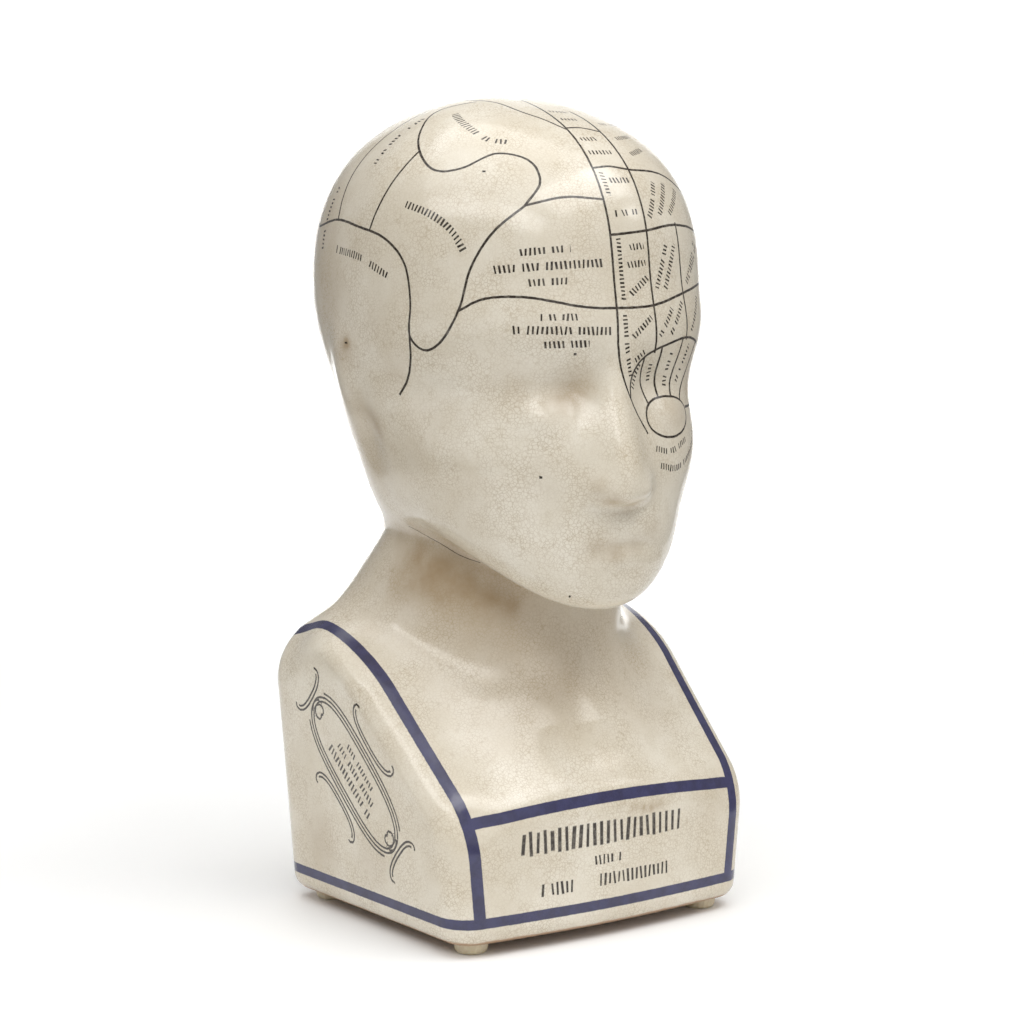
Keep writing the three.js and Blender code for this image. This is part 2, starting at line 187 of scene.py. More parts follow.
# Rows of strokes: places on the skull as above, and stroke height in millimetres
SKULL_ROWS = (
    (2.7, ((-26, 26.2), (-12, 27))),
    (2.9, ((-33, 22.4), (-18, 23), (-3, 23.6))),
    (2.7, ((-25, 19), (-13, 19.4))),
    (2.5, ((-21, 10.4), (-10, 10.4))),
    (2.9, ((-28, 7.4), (-2, 6.8))),
    (2.6, ((-20, 3.6), (-8, 3.8))),
    (2.7, ((-62, 39), (-52, 36), (-45, 32), (-41, 27))),
    (2.7, ((-96, 29), (-80, 27), (-66, 22))),
    (2.9, ((-62, 68), (-47, 61), (-37, 56), (-29, 55))),
    (2.4, ((-87, 50), (-86, 58), (-82, 66))),
    (2.4, ((-109, 28), (-109, 36), (-108, 44))),
    (2.2, ((2, 57), (11, 57))), (2.4, ((1.5, 52), (12, 52))), (2.4, ((4.2, 43.5), (12, 43.5))),
    (2.4, ((2.5, 35), (11, 35.5))), (2.4, ((4.4, 27), (10.8, 27.5))), (2.4, ((4.4, 23), (10.8, 23.5))),
    (2.4, ((4.6, 15.8), (11, 20))), (2.2, ((4.4, 5), (10.6, 10))), (2.2, ((5.4, -1), (9, 1.6))),
    (2.2, ((15, 34), (23, 43))), (2.3, ((19, 34), (29, 43))), (2.3, ((25, 35), (36, 41.5))),
    (2.2, ((14, 17), (20, 28))), (2.2, ((17.5, 17), (24, 28))), (2.2, ((29, 18.5), (39, 29))),
    (2.1, ((13.5, 5), (19, 12))), (2.1, ((18, 5.5), (24.5, 14))), (2.1, ((29, 6), (36, 15))),
    (2.1, ((4.5, -8), (7.5, -1.5))), (2.0, ((12.6, -8), (12.2, 0))), (2.0, ((18.6, -8.4), (19.4, 1.8))),
    (2.0, ((24, -7.5), (28.5, 2.6))),
    (2.1, ((10.5, -21.4), (17, -22.6), (25, -21))),
    (2.3, ((12, -25), (20, -26.4), (29, -24), (35, -18.5))),
    (1.9, ((2.4, 46), (2.4, 39.5))), (1.9, ((2.4, 29.5), (2.4, 14.5))),
    (1.9, ((2.2, 11), (2.6, 3), (4, -5))),
    (2.1, ((3, 67), (14, 66.5))), (2.1, ((3, 72.5), (19, 71.5))), (2.2, ((20, 51), (32, 53))),
    (2.2, ((22, 57), (36, 58))), (2.3, ((26, 64), (44, 63))), (2.2, ((31, 20), (41, 28))),
    (2.3, ((62, 30), (72, 42))), (2.5, ((74, 22), (98, 24))), (2.5, ((70, 48), (88, 56))),
    (2.5, ((-150, 26), (-128, 25))), (2.5, ((128, 25), (150, 26))),
)

# Rows of strokes on the front panel: height, from x, to x, and height of the row's middle
PANEL_ROWS = (
    (8.6, -40, 32, 34.0),
    (3.6, -9, 3, 24.6),
    (4.6, -31.5, -16, 17.0),
    (4.6, -7, 24.5, 17.4),
)

# Scroll frame on each side panel: its middle in y and height, and how steeply it rises backwards
SCROLL_MIDDLE = (2.0, 52.0)
SCROLL_SLANT = math.radians(45)
# Rows of strokes in it: height, along from, along to, and across
SCROLL_ROWS = ((3.6, 16, -16, 4.8), (3.0, 13, -14, -0.6), (2.6, 9, -11, -5.2))

# Fine mould line under the jaw, and dark specks with their radius in millimetres: degrees across and
# up as seen from the head's centre
SEAM = ((-88.1, -56.6), (-75.9, -59.2), (-64.5, -60.8), (-55.1, -61.8), (-43.8, -62.6))
SPECKS = (((-89.2, 3.3), 0.9), ((-36.5, 46.0), 0.55), ((-11.6, 1.3), 0.5), ((-20.7, -26.9), 0.55),
          ((-12.0, -48.0), 0.35), ((35.9, -65.9), 0.5))

# Brown staining and painted shade: degrees across and up on the head, spread in millimetres and strength
HEAD_STAINS_AND_SHADE = (
    # painted shade in the hollow of the near eye
    (-10, -8, 6.5, 0.55), (-15, -11, 7, 0.5), (-27, -8, 9, 0.22),
    # spot in the ear's place, and shade round and below it
    (-89.2, 3, 2.2, 1.2), (-90, 0, 6, 0.4), (-81, -23, 5, 0.62), (-86, -18, 5, 0.4),
    # painted shadow under the nose
    (-8, -26.5, 3.4, 0.45), (-4.6, -29, 3.4, 0.65), (1.4, -30.4, 3.2, 0.6), (7, -29, 3.2, 0.35),
    # painted shade at the mouth
    (-7, -38.4, 3.8, 0.5), (-2, -38.9, 3.6, 0.65), (3.5, -38.2, 3.6, 0.5), (9, -36, 4, 0.35),
    # painted shade, warm-tinted: far eye, back of the head and of the jaw
    (20, -14, 8, 0.4), (33, -10, 6, 0.4), (-103, 14, 18, 0.44), (-100, -16, 15, 0.22),
    (-110, 34, 18, 0.36), (-90, -38, 13, 0.36),
    # painted shadow along the jaw's lower edge
    (-100, -58, 4.5, 0.35), (-81, -60.6, 4.5, 0.45), (-66, -62.2, 4.5, 0.5), (-51, -63.7, 4.5, 0.5),
    (-38, -65.2, 4.5, 0.5), (-26.7, -66.6, 4.5, 0.4),
    # faint ones on the cheeks and the temple
    (-20, -26, 9, 0.12), (-52, -16, 12, 0.14), (-70, 8, 12, 0.12), (-66, -6, 7, 0.22),
    (50, -20, 7, 0.2), (-40, -35, 14, 0.1), (-60, -30, 10, 0.1),
)
# The same for the neck and base: x, y and height, spread and strength
BASE_STAINS_AND_SHADE = (
    # painted shadow on the neck under the jaw
    (-39, -9, 127, 10, 0.4), (-31, -22, 113, 14, 0.5), (-38, -13, 117, 12, 0.45), (-43, -2, 119, 11, 0.45),
    (-46, 7, 118, 10, 0.45), (-22, -28, 106, 14, 0.28), (-41, 6, 130, 9, 0.4), (-10, -31, 100, 14, 0.16),
    (0, -31, 98, 13, 0.12), (15, -31, 102, 10, 0.12), (43, -20, 92, 9, 0.2), (-5, -36, 84, 12, 0.16),
    # thin streak under the top band
    (3, -58, 42.4, 1.8, 0.5), (9, -59, 41, 1.5, 0.8), (13, -59, 40.2, 1.5, 0.9), (17, -59, 39.8, 1.6, 0.9),
    (21, -59, 40.6, 1.5, 0.8),
    # block and shoulders
    (-66, 28, 22, 11, 0.42), (-65, -5, 20, 9, 0.34), (-72, 46, 70, 8, 0.2), (46, -56, 34, 9, 0.2),
    (-40, 30, 120, 14, 0.16), (60, -56, 14, 8, 0.22), (-10, -38, 72, 10, 0.14),
)

# Clouds in the glaze: size in millimetres, detail, roughness, a shift that sets each apart, and for
# some a smooth step: where it begins and ends, and the values there
CLOUDS = {
    "warm": (40, 3, 0.5, 0, (0.35, 0.68, 0.0, 1.0)),
    "small": (9, 3, 0.6, 31, (0.3, 0.75, 0.0, 1.0)),
    "patchy": (10, 3, 0.55, 77, (0.28, 0.72, 0.574, 0.784)),
    "faded": (14, 3, 0.6, 51, (0.3, 0.65, 0.2, 1.0)),
    "density": (1.6, 2, 0.6, 91, (0.25, 0.6, 0.833, 0.98)),
    "streaky": (5, 4, 0.6, 13, (0.3, 0.7, 0.0, 1.0)),
    "wander": (1.4, 2, 0.5, 11, None),
    "tremble": (2.2, 2, 0.5, 5, None),
    "uneven": (6, 3, 0.6, 3, None),
    "pour": (30, 1, 0.4, 63, None),
    "skin": (5, 2, 0.5, 21, None),
}
# Nets of cracks: cells to a crack spacing, where a crack's dark middle and its soft edge end as
# shares of a cell, and its strength
CRACK_NETS = ((1.0, 0.0, 0.11, 0.5), (0.36, 0.004, 0.04, 0.32))

# The camera: its direction from the bust, the height it looks at, and the frame's shift
VIEW_AZIMUTH = math.radians(-36.05)
VIEW_ELEVATION = math.radians(6.19)
VIEW_HEIGHT = 0.149
FRAME_SHIFT = (-2.286 / 1024, -11.88 / 1024)

# The floor in metres: it starts before the bust, runs flat, rises in a quarter circle, and goes up
FLOOR_START = -0.5
FLOOR_END = 1.2
SWEEP_RADIUS = 0.8
WALL_TOP = 2.4
FLOOR_HALF_WIDTH = 0.34
FLOOR_WIDENING = 0.17

# Soft boxes: azimuth and elevation in degrees, distance, width and height in metres, and watts
LAMPS = {
    "key": (30, 56, 1.5, 1.4, 0.55, 9.0),
    "left": (-62, 42, 1.5, 2.0, 0.35, 7.6),
    "top": (-70, 82, 1.6, 2.2, 2.2, 23.0),
    "front": (0, 22, 2.0, 1.8, 1.2, 4.0),
    "window": (50, 34, 1.5, 0.24, 0.2, 0.6),
    "low_left": (-97, -3, 0.6, 0.5, 0.16, 0.14),
    "backdrop_left": (-160, 40, 1.5, 0.8, 0.8, 6.0),
    "backdrop_right": (108, 40, 1.5, 0.8, 0.8, 4.8),
}
WORLD_LIGHT = 0.24


def linear(colour):
    """sRGB hex to linear: (c / 12.92) for the darkest, else ((c + 0.055) / 1.055) to the power 2.4."""
    parts = (int(colour[i:i + 2], 16) / 255 for i in (1, 3, 5))
    return tuple(c / 12.92 if c <= 0.04045 else ((c + 0.055) / 1.055) ** 2.4 for c in parts)


# Form

def bell(t):
    """1 at 0, falling off on both sides as e to the power minus t squared."""
    return np.exp(-t * t)


def ease(t):
    """0 below 0, 1 above 1, and 3t squared - 2t cubed between."""
    s = np.clip(t, 0, 1)
    return s * s * (3 - 2 * s)


def mix(a, b, t):
    """a at t = 0 and b at t = 1."""
    return a + (b - a) * t


def merge(a, b, width):
    """Soft joining of two bodies: the smaller field, lowered where both are within width."""
    h = np.maximum(width - np.abs(a - b), 0) / width
    return np.minimum(a, b) - h * h * width * 0.25


def rounded_corner(a, b, radius):
    """Meeting of two walls: the distance from a circle of that radius set into their corner."""
    u = a + radius
    v = b + radius
    return np.minimum(np.maximum(u, v), 0) + np.hypot(np.maximum(u, 0), np.maximum(v, 0)) - radius


def spline(xs, ys):
    """Natural cubic spline: second derivatives from a tridiagonal system, then cubics between."""
    xs = np.asarray(xs, float)
    ys = np.asarray(ys, float)
    n = len(xs)
    w = np.diff(xs)
    system = np.eye(n)
    right = np.zeros(n)
    inner = np.arange(1, n - 1)
    system[inner, inner - 1] = w[:-1]
    system[inner, inner] = 2 * (w[:-1] + w[1:])
    system[inner, inner + 1] = w[1:]
    right[inner] = 6 * (np.diff(ys)[1:] / w[1:] - np.diff(ys)[:-1] / w[:-1])
    bend = np.linalg.solve(system, right)

    def value(x):
        i = np.clip(np.searchsorted(xs, x) - 1, 0, n - 2)
        a = (xs[i + 1] - x) / w[i]
        b = (x - xs[i]) / w[i]
        curve = ((a ** 3 - a) * bend[i] + (b ** 3 - b) * bend[i + 1]) * w[i] ** 2 / 6
        return a * ys[i] + b * ys[i + 1] + curve
    return value


face_rail = spline(ELEVATION, TO_FACE)
side_rail = spline(ELEVATION, TO_SIDE)
back_rail = spline(ELEVATION, TO_BACK)


def block_field(x, y, z):
    """Block with leaning sides and a sloping chest: its walls and roof meet in rounded corners."""
    side = (np.abs(x) - BASE_WIDTH / 2 - SIDE_LEAN * z) / np.hypot(1, SIDE_LEAN)
    share = np.clip(x / (PANEL_WIDTH / 2 + SIDE_LEAN * z), -1.25, 1.25)
    fullness = 1 - share * share
    front_line = -BASE_DEPTH / 2 - FRONT_BULGE * fullness
    wall = rounded_corner(side, np.maximum(front_line - y, y - BASE_DEPTH / 2), CORNER_RADIUS)
    slope = math.radians(SLOPE_DEGREES)
    panel_top = PANEL_TOP + PANEL_ARCH * fullness
    chest = (z - panel_top) * math.cos(slope) - (y - front_line) * math.sin(slope)
    roof = rounded_corner(chest, z - CREST_HEIGHT, CREST_BLEND)
    rounder = ease((y - SHOULDER_START) / SHOULDER_FADE)
    radius = mix(SIDE_EDGE_RADIUS, SHOULDER_RADIUS, rounder)
    radius = radius + (BACK_EDGE_RADIUS - SHOULDER_RADIUS) * ease((y - BACK_EDGE_START) / BACK_EDGE_FADE)
    inward = 1 - ease((np.abs(x) - PANEL_EDGE_END) / PANEL_EDGE_FADE)
    over_panel = inward * ease((PANEL_EDGE_REACH - BASE_DEPTH / 2 - y) / PANEL_EDGE_FADE)
    radius = mix(radius, PANEL_EDGE_RADIUS, over_panel)
    return rounded_corner(wall, roof, radius)


def neck_field(x, y, z):
    """Round column whose half-width grows downwards, first by SPREAD, then faster, to SPREAD_LIMIT.

    It leans forwards going down, and its front swells further to fill the throat.
    """
    drop = np.maximum(NECK_FOOT - z, 0)
    spread = NECK_HALF_WIDTH + SPREAD * drop + SPREAD_GROWTH * drop * drop
    half_width = merge(spread, SPREAD_LIMIT, SPREAD_TURN)
    low = np.clip(NECK_FOOT - THROAT_START - z, 0, THROAT_REACH)
    middle = NECK_BACK + NECK_LEAN * drop
    to_front = NECK_HALF_DEPTH + THROAT_FILL * low * low + NECK_LEAN * drop
    half_depth = np.where(y < middle, to_front, NECK_HALF_DEPTH + BACK_SPREAD * drop)
    across = np.hypot(x / half_width, 0.16) ** NECK_POWER
    along = np.hypot((y - middle) / half_depth, 0.08) ** NECK_POWER
    column = ((across + along) ** (1 / NECK_POWER) - 1) * np.minimum(half_width, half_depth) * 0.75
    side = np.abs(x) - BASE_WIDTH / 2 - SIDE_LEAN * z
    ends = np.abs(y) - BASE_DEPTH / 2
    return rounded_corner(np.maximum(column, z - NECK_TOP), np.maximum(side, ends), NECK_EDGE_RADIUS)


def face_relief(x, z):
    """Swelling of the face as a sum of bells: x across the face, z up from the head's centre."""
    far = np.abs(x)
    # nose: its ridge, then its wings
    bridge = ease(-z / 37) * ease((z + 51.5) / 11)
    nose_width = 6.4 + 3.2 * ease((-8 - z) / 30)
    rise = 10.2 * bridge * bell((x + 1.6) / nose_width)
    rise = rise + 2.2 * bell((np.abs(x + 1.6) - 9) / 4.4) * bell((z + 41) / 5.5)
    # hollows of the eyes and of the temples, swelling under the eye, brow and cheek bones
    rise = rise - 4.2 * bell((far - 15) / 9.5) * bell((z + 10) / 10)
    rise = rise - 2.0 * bell((far - 28) / 13) * bell((z + 12) / 9)
    rise = rise - 2.0 * bell((far - 52) / 11) * bell((z + 13) / 11)
    rise = rise + 1.6 * bell((far - 26) / 8) * bell((z + 19) / 6)
    rise = rise + 1.2 * bell((far - 34) / 26) * bell((z - 9) / 10)
    rise = rise + 2.6 * bell((far - 40) / 20) * bell((z + 34) / 14)
    # mouth as one soft swelling with a bent furrow, then the dip above the chin, and the chin
    rise = rise + 2.0 * bell(x / 19) * bell((z + 64) / 10)
    rise = rise - 2.1 * bell(x / 16) * bell((z + 62.5 + 0.012 * x * x) / 3)
    rise = rise - 1.0 * bell(x / 15) * bell((z + 73) / 4)
    return rise + 1.0 * bell(x / 16) * bell((z + 81) / 7)


def turned(x, y):
    """x and y in the head's own frame, which is turned by HEAD_TURN."""
    c, s = math.cos(HEAD_TURN), math.sin(HEAD_TURN)
    return x * c - (y - HEAD_BACK) * s, x * s + (y - HEAD_BACK) * c


def head_field(x, y, z):
    """Distance from the head's centre, less the outline's distance in that direction.

    Seen from above, each quarter of the outline is close to an ellipse, of power 2 to 2.1, between
    the side's reach and that of the face or the back; the face's relief is added to it.
    """
    px, py = turned(x, y)
    pz = z - HEAD_CENTRE
    reach = np.sqrt(px * px + py * py + pz * pz) + 1e-9
    elevation = np.degrees(np.arcsin(np.clip(pz / reach, -1, 1)))
    plan = np.hypot(px, py) + 1e-9
    end_rail = np.where(py < 0, face_rail(elevation), back_rail(elevation))
    power = 2 + 0.1 * ease((elevation + 5) / 20) * ease((75 - elevation) / 30)
    across = (np.abs(px) / plan / side_rail(elevation)) ** power
    along = (np.abs(py) / plan / end_rail) ** power
    radius = CROWN_RISE * (across + along) ** (-1 / power)
    front = ease((-py / plan - 0.15) / 0.5)
    radius = radius + face_relief(px / reach * radius, pz / reach * radius) * front
    back = py / reach * radius
    up = pz / reach * radius
    # a low swelling in the ear's place, and a hollow below and before it
    beside = np.abs(px) / plan > 0.3
    radius = radius + beside * 2.0 * bell((back - 6) / 9) * bell((up + 8) / 17)
    radius = radius - beside * 1.6 * bell((back + 3) / 7) * bell((up + 30) / 12)
    return reach - radius


def bust_field(p):
    """The whole bust, below zero inside and above zero outside, for an array of points."""
    x, y, z = p[..., 0], p[..., 1], p[..., 2]
    body = merge(block_field(x, y, z), neck_field(x, y, z), NECK_BLEND)
    based = rounded_corner(body, -z, UNDERSIDE_RADIUS)
    return merge(based, head_field(x, y, z), JAW_BLEND)


def skin_points(start, ray):
    """First points where rays leave the bust: steps of half the depth, 0.2 to 8 mm, then halving."""
    start = np.broadcast_to(start, ray.shape)
    near = np.zeros(len(ray))
    far = np.full(len(ray), 4.0)
    going = np.arange(len(ray))
    for _ in range(90):
        depth = bust_field(start[going] + ray[going] * far[going, None])
        inside = depth < 0
        going, depth = going[inside], depth[inside]
        if len(going) == 0:
            break
        near[going] = far[going]
        far[going] += np.clip(-depth * 0.5, 0.2, 8)
    for _ in range(20):
        middle = (near + far) / 2
        inside = bust_field(start + ray * middle[:, None]) < 0
        near = np.where(inside, middle, near)
        far = np.where(inside, far, middle)
    return start + ray * far[:, None]


def normals_at(p):
    """Unit normals of the skin: differences of the field 0.2 mm to each side."""
    steps = np.eye(3) * 0.2
    n = np.stack([bust_field(p + s) - bust_field(p - s) for s in steps], -1)
    return n / np.linalg.norm(n, axis=-1, keepdims=True)


def ray(azimuth, elevation):
    """Unit vectors: azimuth 0 is straight ahead, -Y, and grows towards +X; both in radians."""
    flat = np.cos(elevation)
    parts = (flat * np.sin(azimuth), -flat * np.cos(azimuth), np.sin(elevation))
    return np.stack(np.broadcast_arrays(*parts), -1)


def column_azimuths(columns, share):
    """Evenly turned, drawn to the corners low down (share 0) and to the face higher up (share 1)."""
    t = 2 * np.pi * (np.arange(columns) + 0.5) / columns - np.pi
    crowded = t + (1 - share) * 0.08 * np.sin(4 * t) - share * 0.3 * np.sin(t)
    return crowded - HEAD_TURN * share


def around(columns, front, side, back):
    """A value for each column between its front, side and back values, by the cosine squared."""
    c = np.cos(2 * np.pi * (np.arange(columns) + 0.5) / columns - np.pi)
    return side + (np.where(c > 0, front, back) - side) * c * c


def skin_rings(columns):
    """Rings of points up the bust: underside, its edge, upright walls, shoulders and head."""
    axis = np.array([0, HEAD_BACK, 0])
    low = column_azimuths(columns, 0)
    wall = skin_points(axis + [0, 0, UNDERSIDE_RADIUS], ray(low, 0))
    edge = np.hypot(wall[:, 0], wall[:, 1] - HEAD_BACK) - UNDERSIDE_RADIUS * SIDE_LEAN
    flat = edge - UNDERSIDE_RADIUS
    rings = [axis + flat[:, None] * t * ray(low, 0) for t in np.linspace(0.12, 1, UNDERSIDE_RINGS)]
    for angle in np.linspace(0, np.pi / 2, EDGE_RINGS + 1)[1:]:
        height = UNDERSIDE_RADIUS * (1 - math.cos(angle))
        reach = edge - UNDERSIDE_RADIUS * (1 - math.sin(angle))
        rings.append(skin_points(axis + [0, 0, BASE_EYE], ray(low, np.arctan2(height - BASE_EYE, reach))))
    for height in np.linspace(UNDERSIDE_RADIUS, PANEL_TOP - 5, WALL_RINGS + 1)[1:]:
        rings.append(skin_points(axis + [0, 0, height], ray(low, 0)))
    last = rings[-1]
    start = np.arctan2(last[:, 2] + 1.2 - SHOULDER_EYE, np.hypot(last[:, 0], last[:, 1] - HEAD_BACK))
    end = np.radians(around(columns, *SHOULDER_END))
    for t in np.linspace(0, 1, SHOULDER_RINGS):
        azimuth = column_azimuths(columns, 0.8 * ease(t))
        rings.append(skin_points(axis + [0, 0, SHOULDER_EYE], ray(azimuth, mix(start, end, t))))
    shoulder = rings[-1]
    start = np.radians(around(columns, *HEAD_START))
    head = []
    for t in np.linspace(0, 1, HEAD_RINGS + 1)[:-1]:
        azimuth = column_azimuths(columns, 0.8 + 0.2 * ease(t * 4))
        head.append(skin_points(axis + [0, 0, HEAD_CENTRE], ray(azimuth, mix(start, np.pi / 2, t))))
    level = ray(column_azimuths(columns, 0.8), 0)
    for t in np.arange(1, JOIN_RINGS + 1) / (JOIN_RINGS + 1):
        height = mix(shoulder[:, 2:], head[0][:, 2:], t)
        rings.append(skin_points(axis + height * [0, 0, 1], level))
    rings.extend(head)
    return rings


def skin(columns):
    """Closed skin: quads between neighbouring rings, one fan under the base and one at the crown."""
    rings = skin_rings(columns)
    crown = skin_points(np.array([0, HEAD_BACK, HEAD_CENTRE]), ray(np.zeros(1), np.pi / 2 - 1e-6))
    points = np.concatenate([np.array([[0, HEAD_BACK, 0]]), *rings, crown])
    row, column = np.meshgrid(np.arange(len(rings) - 1), np.arange(columns), indexing="ij")
    beside = (column + 1) % columns
    quads = np.stack([row * columns + column, row * columns + beside,
                      (row + 1) * columns + beside, (row + 1) * columns + column], -1).reshape(-1, 4) + 1
    first = np.arange(columns) + 1
    last = first + (len(rings) - 1) * columns
    fans = np.concatenate([
        np.stack([np.zeros(columns, int), np.roll(first, -1), first], -1),
        np.stack([np.full(columns, len(points) - 1), last, np.roll(last, -1)], -1),
    ])
    return points, quads, fans


# Painting

def flow(points, step=1.2):
    """Smooth line through points on a plane: Catmull-Rom cubics, cut into steps of about that size."""
    p = np.asarray(points, float)
    p = np.concatenate([[2 * p[0] - p[1]], p, [2 * p[-1] - p[-2]]])
    pieces = []
    for a, b, c, d in zip(p[:-3], p[1:-2], p[2:-1], p[3:]):
        count = max(2, int(np.linalg.norm(c - b) / step))
        t = np.arange(count)[:, None] / count
        pieces.append(0.5 * (2 * b + (c - a) * t + (2 * a - 5 * b + 4 * c - d) * t ** 2
                             + (3 * b - a - 3 * c + d) * t ** 3))
    return np.concatenate([*pieces, p[-2:-1]])


def on_head(chart):
    """Points of the skin seen from the head's centre at those degrees across and up."""
    chart = np.radians(np.asarray(chart, float))
    eye = np.array([0, HEAD_BACK, HEAD_CENTRE])
    return skin_points(eye, ray(chart[:, 0] - HEAD_TURN, chart[:, 1]))


def unwound(points):
    """Degrees across without the jump at the back of the head."""
    p = np.array(points, float)
    p[:, 0] = np.degrees(np.unwrap(np.radians(p[:, 0])))
    return p


def head_line(points):
    """A flowing line on the head, spaced by degrees."""
    return on_head(flow(unwound(points)))


def on_panel(x, z):
    """Points of the front panel at those places across and up."""
    start = np.stack([x * 0.8, np.zeros_like(x), z], -1)
    aim = np.stack([x, np.full_like(x, -BASE_DEPTH / 2 - FRONT_BULGE), z], -1) - start
    return skin_points(start, aim / np.linalg.norm(aim, axis=1, keepdims=True))


def on_side(y, z, sign):
    """Points of a side panel at those places from front to back and up."""
    start = np.stack([np.zeros_like(y), y, z], -1)
    return skin_points(start, np.broadcast_to([float(sign), 0, 0], start.shape))


def band_over(sign):
    """Path of the band at one side: a section of the bust, up its front, over it and down its back.

    Seen from a point at BAND_EYE in the slanted plane of the band, it fans out from the bottom band
    in front, over the shoulder, to the bottom band at the back.
    """
    angle = np.linspace(math.radians(213), math.radians(-33), 320)
    aim = np.stack([SIDE_LEAN * np.sin(angle) * sign, np.cos(angle), np.sin(angle)], -1)
    start = np.array([sign * (BAND_INSET + SIDE_LEAN * BAND_EYE), 0, BAND_EYE])
    return skin_points(start, aim / np.linalg.norm(aim, axis=1, keepdims=True))


def band_round(height):
    """Path of the bottom band, round the base at one height."""
    angle = np.linspace(-np.pi, np.pi, 400)
    return skin_points(np.array([0, 0, height]), ray(angle, 0))


def wound(length, growth, offset, share):
    """Half of a scroll, from its middle into a volute: places along and across.

    Its curvature grows by e for every growth mm, up to one over 1.3 mm at the end. offset moves the
    line sideways for a parallel second and third line, and share is how much of it is drawn.
    """
    s, step = np.linspace(0, length, 500, retstep=True)
    turn = -np.cumsum(np.exp((s - length) / growth) / 1.3) * step
    along = np.cumsum(np.cos(turn)) * step - offset * np.sin(turn)
    across = np.cumsum(np.sin(turn)) * step + offset * np.cos(turn)
    return np.stack([along, across], -1)[:int(share * 500):6]


def on_scroll(local, sign):
    """Places along and across the scroll frame to points of a side panel."""
    c, s = math.cos(SCROLL_SLANT), math.sin(SCROLL_SLANT)
    y = SCROLL_MIDDLE[0] + local[:, 0] * c + local[:, 1] * s
    z = SCROLL_MIDDLE[1] + local[:, 0] * s - local[:, 1] * c
    return on_side(y, z, sign)


def chopped(line, longest=9.0):
    """Cuts a line into equal lengths of a few millimetres."""
    lengths = np.concatenate([[0], np.cumsum(np.linalg.norm(np.diff(line, axis=0), axis=1))])
    count = max(1, int(np.ceil(lengths[-1] / longest)))
    cuts = np.searchsorted(lengths, lengths[-1] * np.arange(count + 1) / count)
    cuts = np.clip(cuts, 0, len(line) - 1)
    return [line[a:b + 1] for a, b in zip(cuts[:-1], cuts[1:]) if b > a]


def near_line(points, path, reach):
    """For points near a path: which they are, signed distance to its side, and place along it.

    Each point takes its nearest straight piece. The side is the piece's direction crossed with the
    skin's normal, and beyond the path's two ends the place runs on in a straight line.
    """
    low, high = path.min(0) - reach, path.max(0) + reach
    which = np.flatnonzero(((points > low) & (points < high)).all(1))
    a, b = path[:-1], path[1:]
    piece = b - a
    length = np.linalg.norm(piece, axis=1)
    along = piece / length[:, None]
    side = np.cross(along, normals_at((a + b) / 2))
    side /= np.linalg.norm(side, axis=1, keepdims=True)
    from_a = points[which][:, None] - a
    t = np.einsum("psk,sk->ps", from_a, along)
    held = np.clip(t, 0, length)
    gap = np.linalg.norm(from_a - held[..., None] * along, axis=2)
    best = gap.argmin(1)
    rows = np.arange(len(which))
    begin = np.concatenate([[0], np.cumsum(length)])[:-1]
    t_best = t[rows, best]
    ends_free = np.where((best == 0) & (t_best < 0) | (best == len(a) - 1) & (t_best > length[best]),
                         t_best, held[rows, best])
    distance = np.einsum("pk,pk->p", from_a[rows, best], side[best])
    return which, distance, begin[best] + ends_free, begin[-1] + length[-1]


def quads_near(points, quads, path, reach):
    """For quads with all corners near a path: which they are, and for each corner the signed distance
    to the path, the place along it, and how far that is beyond the end that the quad is nearer to.
    """
    which, distance, place, length = near_line(points, path, reach)
    measured = np.full((2, len(points)), np.nan)
    measured[:, which] = distance, place
    near = np.flatnonzero(np.isfinite(measured[0, quads]).all(1))
    distance, place = measured[:, quads[near]]
    late = (place.mean(1) > length / 2)[:, None]
    return near, distance, place, np.where(late, place - length, -place)


def paint(points, quads, lines, layers, reach=2.6):
    """What the shader needs to draw lines on the skin's quads: for each of the quad's corners, the
    signed distance to the line, its half-width and how far the place is beyond the line's end.

    lines holds (path, half-width) pairs. Each quad keeps as many lines as there are layers, the
    nearest first, so crossing lines are all drawn.
    """
    score = np.full((layers, len(quads)), 1e3)
    store = np.full((layers, len(quads), 4, 3), NO_LINE)
    store[..., 1] = 0.1
    for path, half_width in lines:
        for part in chopped(path):
            near, distance, _, beyond = quads_near(points, quads, part, reach + half_width)
            # a hair of overlap hides the joints between neighbouring lengths
            beyond = beyond - 0.15
            gap = np.maximum(np.abs(distance.mean(1)) - half_width, 0) + np.maximum(beyond.mean(1), 0) * 2
            fresh = np.stack([distance, np.full_like(distance, half_width), beyond], -1)
            for layer in range(layers):
                better = gap < score[layer, near]
                old_gap = np.where(better, score[layer, near], gap)
                old = np.where(better[:, None, None], store[layer, near], fresh)
                score[layer, near] = np.where(better, gap, score[layer, near])
                store[layer, near] = np.where(better[:, None, None], fresh, store[layer, near])
                gap, fresh = old_gap, old
    return store


def paint_rows(points, quads, rows):
    """As paint, for rows of strokes: place along the row in stroke spacings, height from the row's
    middle as a share of half the stroke height, and how far the place is beyond the row's end.
    Each row counts on from a hundred times its number, so that no two rows look alike.
    """
    score = np.full(len(quads), 1e3)
    store = np.full((len(quads), 4, 3), NO_LINE)
    for number, (path, height) in enumerate(rows):
        near, distance, place, beyond = quads_near(points, quads, path, height)
        gap = np.abs(distance.mean(1)) / height + np.maximum(beyond.mean(1), 0)
        spacing = 0.9 + height * 0.24
        fresh = np.stack([place / spacing + 100 * number + 50, distance / (height / 2), beyond], -1)
        better = gap < score[near]
        score[near] = np.where(better, gap, score[near])
        store[near] = np.where(better[:, None, None], fresh, store[near])
    return store


